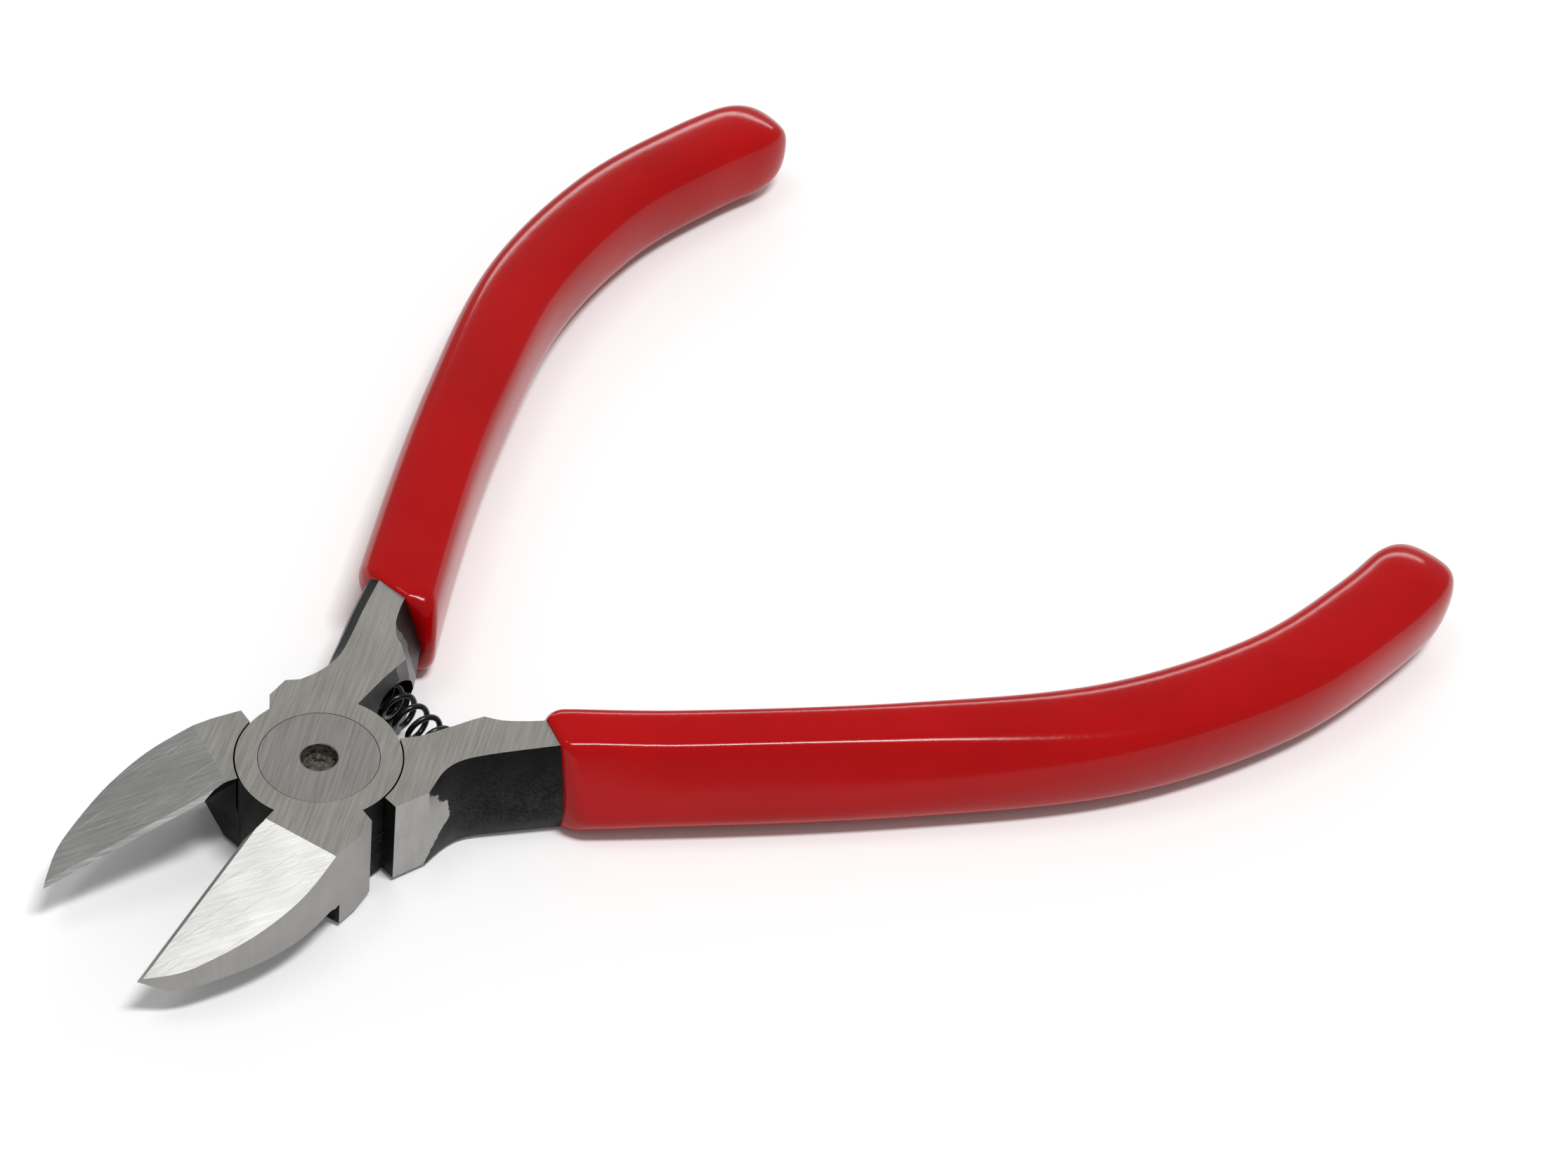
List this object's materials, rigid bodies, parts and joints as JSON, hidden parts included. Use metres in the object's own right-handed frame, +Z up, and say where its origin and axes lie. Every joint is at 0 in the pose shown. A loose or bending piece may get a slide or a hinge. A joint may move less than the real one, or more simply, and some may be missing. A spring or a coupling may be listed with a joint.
{
  "type": "diagonal cutting pliers",
  "caption": "Spring-opened diagonal cutting pliers: lap-jointed steel levers with bevelled cutting jaws and curved handles in dipped vinyl grips, hinged on a flush rivet.",
  "frame": {"origin": "on the pivot axis, at the flat underside of the joint", "axes": "+X along the handles, jaws towards -X, +Y across the tool, +Z up out of the joint's top face; stored with the jaws open at their relaxed angle"},
  "size_m": [0.14, 0.1134, 0.011],
  "materials": {
    "ground_steel": "ground, with black oxide left on the forged flanks",
    "rivet_steel": "ground flush",
    "black_wire": "black oxide spring wire",
    "red_vinyl": "dipped vinyl, glossy"
  },
  "bodies": {
    "rear": {"rear_lever": "ground_steel", "rear_grip": "red_vinyl", "return_spring": "black_wire"},
    "front": {"front_lever": "ground_steel", "front_grip": "red_vinyl", "pivot_rivet": "rivet_steel"}
  },
  "joints": [
    {"name": "jaw_pivot", "type": "hinge", "parent": "rear", "child": "front", "pos_m": [0, 0, 0], "axis": [0, 0, -1], "range_deg": [-14, 29.4], "stiffness_Nm_per_rad": 0.35, "deforming": ["return_spring"]}
  ]
}
